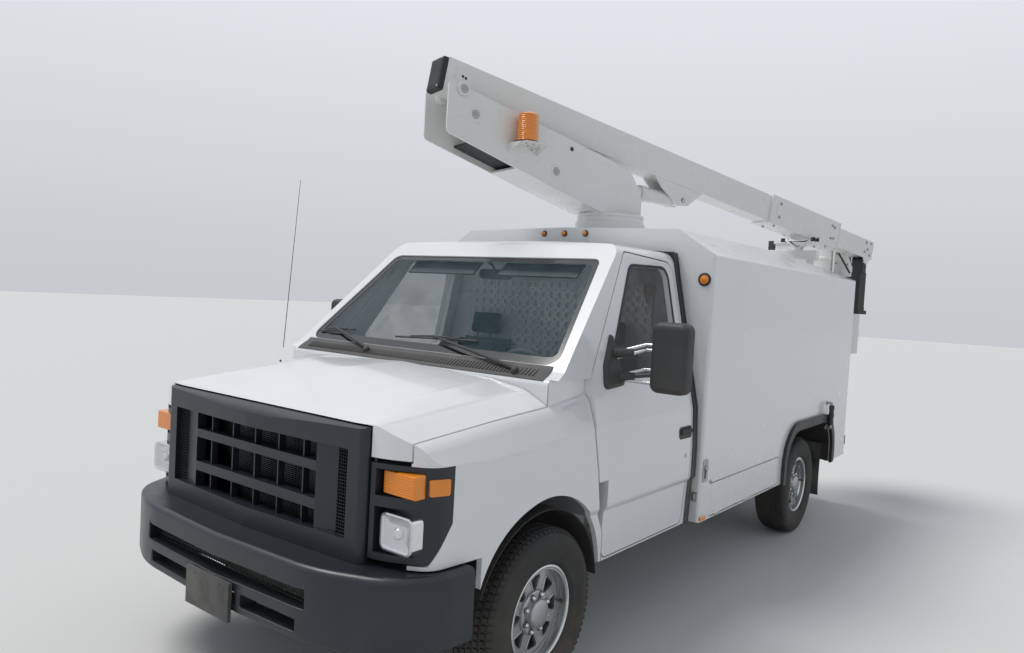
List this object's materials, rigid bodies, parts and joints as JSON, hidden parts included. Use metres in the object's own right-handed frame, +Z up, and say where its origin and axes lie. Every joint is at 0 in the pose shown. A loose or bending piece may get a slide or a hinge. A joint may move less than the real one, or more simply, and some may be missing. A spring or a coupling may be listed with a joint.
{
  "type": "cherry picker truck",
  "caption": "Van-based cherry picker: cab, closed service body and a telescopic bucket boom on a roof turntable, stowed towards the rear.",
  "frame": {"origin": "centre of the whole machine's outline on the ground", "axes": "+Y to the rear, +X to the driver's side, +Z up"},
  "size_m": [2.57, 6.4567, 3.1509],
  "materials": {
    "white_paint": "glossy white paint",
    "boom_paint": "glossy white paint on welded plate",
    "bucket_white": "white gelcoat",
    "black_frame": "satin black chassis paint",
    "grey_plastic": "grained dark grey plastic",
    "black_plastic": "grained black plastic",
    "cabin_plastic": "grained dark grey trim",
    "seat_cloth": "dark grey woven cloth",
    "glass": "clear tinted glass",
    "lamp_lens": "clear lens over a bright reflector",
    "amber_lens": "ribbed amber lens",
    "tyre_rubber": "black rubber",
    "wheel_silver": "silver painted steel",
    "bare_cast": "rough cast metal",
    "chrome_rod": "polished hard chrome",
    "galvanised": "dull bare steel"
  },
  "bodies": {
    "chassis": {"body_floor": "white_paint", "body_roof": "white_paint", "boom_rest": "boom_paint", "cab_shell": "white_paint", "chassis_frame": "black_frame", "dashboard": "cabin_plastic", "driveline": "bare_cast", "engine_block": "bare_cast", "exhaust": "galvanised", "fenders": "white_paint", "front_axle": "black_frame", "front_bumper": "grey_plastic", "fuel_tank": "black_plastic", "grille": "grey_plastic", "headlamps": "lamp_lens", "lockers": "white_paint", "pedestal": "boom_paint", "plate_bracket": "black_plastic", "rear_axle": "black_frame", "rear_bumper": "black_frame", "seats": "seat_cloth", "service_body": "white_paint", "wheel_flares": "black_plastic", "windshield": "glass"},
    "hood": {"hood": "white_paint"},
    "rear_door": {"rear_door": "white_paint"},
    "cab_door_left": {"door_left": "white_paint", "door_glass_left": "glass", "mirror_left": "black_plastic"},
    "locker_left": {"locker_door_left": "white_paint"},
    "steer_left": {"knuckle_left": "bare_cast"},
    "front_wheel_left": {"wheel_front_left": "wheel_silver", "tyre_front_left": "tyre_rubber"},
    "rear_wheel_left": {"wheel_rear_left": "wheel_silver", "tyre_rear_left": "tyre_rubber"},
    "cab_door_right": {"door_right": "white_paint", "door_glass_right": "glass", "mirror_right": "black_plastic"},
    "locker_right": {"locker_door_right": "white_paint"},
    "steer_right": {"knuckle_right": "bare_cast"},
    "front_wheel_right": {"wheel_front_right": "wheel_silver", "tyre_front_right": "tyre_rubber"},
    "rear_wheel_right": {"wheel_rear_right": "wheel_silver", "tyre_rear_right": "tyre_rubber"},
    "turret": {"turret": "boom_paint", "beacon": "amber_lens"},
    "boom": {"outer_boom": "boom_paint"},
    "boom_extension": {"inner_boom": "boom_paint"},
    "cylinder": {"lift_cylinder": "boom_paint"},
    "rod": {"lift_rod": "chrome_rod"},
    "bucket": {"bucket_bracket": "black_frame", "bucket": "bucket_white"}
  },
  "joints": [
    {"name": "steering_left", "type": "hinge", "parent": "chassis", "child": "steer_left", "pos_m": [0.745, -2.22841, 0.375], "axis": [0, 0, 1], "range_deg": [-32, 32]},
    {"name": "steering_right", "type": "hinge", "parent": "chassis", "child": "steer_right", "pos_m": [-0.745, -2.22841, 0.375], "axis": [0, 0, 1], "range_deg": [-32, 32]},
    {"name": "front_spin_left", "type": "hinge", "parent": "steer_left", "child": "front_wheel_left", "pos_m": [0.872, -2.22841, 0.375], "axis": [1, 0, 0], "continuous": true},
    {"name": "rear_spin_left", "type": "hinge", "parent": "chassis", "child": "rear_wheel_left", "pos_m": [0.862, 1.27659, 0.375], "axis": [1, 0, 0], "continuous": true},
    {"name": "cab_door_left_swing", "type": "hinge", "parent": "chassis", "child": "cab_door_left", "pos_m": [0.988, -1.82841, 1], "axis": [0, 0, -1], "range_deg": [0, 68]},
    {"name": "locker_left_drop", "type": "hinge", "parent": "chassis", "child": "locker_left", "pos_m": [1.04, -0.04841, 0.507], "axis": [0, 1, 0], "range_deg": [0, 95]},
    {"name": "front_spin_right", "type": "hinge", "parent": "steer_right", "child": "front_wheel_right", "pos_m": [-0.872, -2.22841, 0.375], "axis": [1, 0, 0], "continuous": true},
    {"name": "rear_spin_right", "type": "hinge", "parent": "chassis", "child": "rear_wheel_right", "pos_m": [-0.862, 1.27659, 0.375], "axis": [1, 0, 0], "continuous": true},
    {"name": "cab_door_right_swing", "type": "hinge", "parent": "chassis", "child": "cab_door_right", "pos_m": [-0.988, -1.82841, 1], "axis": [0, 0, 1], "range_deg": [0, 68]},
    {"name": "locker_right_drop", "type": "hinge", "parent": "chassis", "child": "locker_right", "pos_m": [-1.04, -0.04841, 0.507], "axis": [0, -1, 0], "range_deg": [0, 95]},
    {"name": "hood_lift", "type": "hinge", "parent": "chassis", "child": "hood", "pos_m": [0, -2.18941, 1.38], "axis": [-1, 0, 0], "range_deg": [0, 58]},
    {"name": "rear_door_swing", "type": "hinge", "parent": "chassis", "child": "rear_door", "pos_m": [-0.905, 2.31659, 1.365], "axis": [0, 0, 1], "range_deg": [0, 110]},
    {"name": "turret_turn", "type": "hinge", "parent": "chassis", "child": "turret", "pos_m": [0, -0.22841, 2.323], "axis": [0, 0, 1], "range_deg": [-180, 180]},
    {"name": "boom_lift", "type": "hinge", "parent": "turret", "child": "boom", "pos_m": [-0.44531, -1.45189, 2.955], "axis": [0.9397, -0.342, 0], "range_deg": [0, 84]},
    {"name": "boom_extend", "type": "slide", "parent": "boom", "child": "boom_extension", "axis": [0.3375, 0.9272, -0.1623], "range_m": [0, 2.3]},
    {"name": "bucket_level", "type": "hinge", "parent": "boom_extension", "child": "bucket", "pos_m": [1.00314, 2.52769, 2.23809], "axis": [0.9397, -0.342, 0], "range_deg": [-84, 0]},
    {"name": "cylinder_swing", "type": "hinge", "parent": "turret", "child": "cylinder", "pos_m": [-0.20521, -0.79223, 2.56], "axis": [0.9397, -0.342, 0], "range_deg": [0, 93.62]},
    {"name": "rod_extend", "type": "slide", "parent": "cylinder", "child": "rod", "axis": [0.3418, 0.9392, -0.0328], "range_m": [0, 1.04158]}
  ],
  "couplings": [
    {"joint": "steering_right", "follows": "steering_left", "ratio": 1},
    {"joint": "bucket_level", "follows": "boom_lift", "ratio": -1},
    {"joint": "cylinder_swing", "follows": "boom_lift", "ratio": 1.1144},
    {"joint": "rod_extend", "follows": "boom_lift", "m_per_rad": 0.71032}
  ]
}
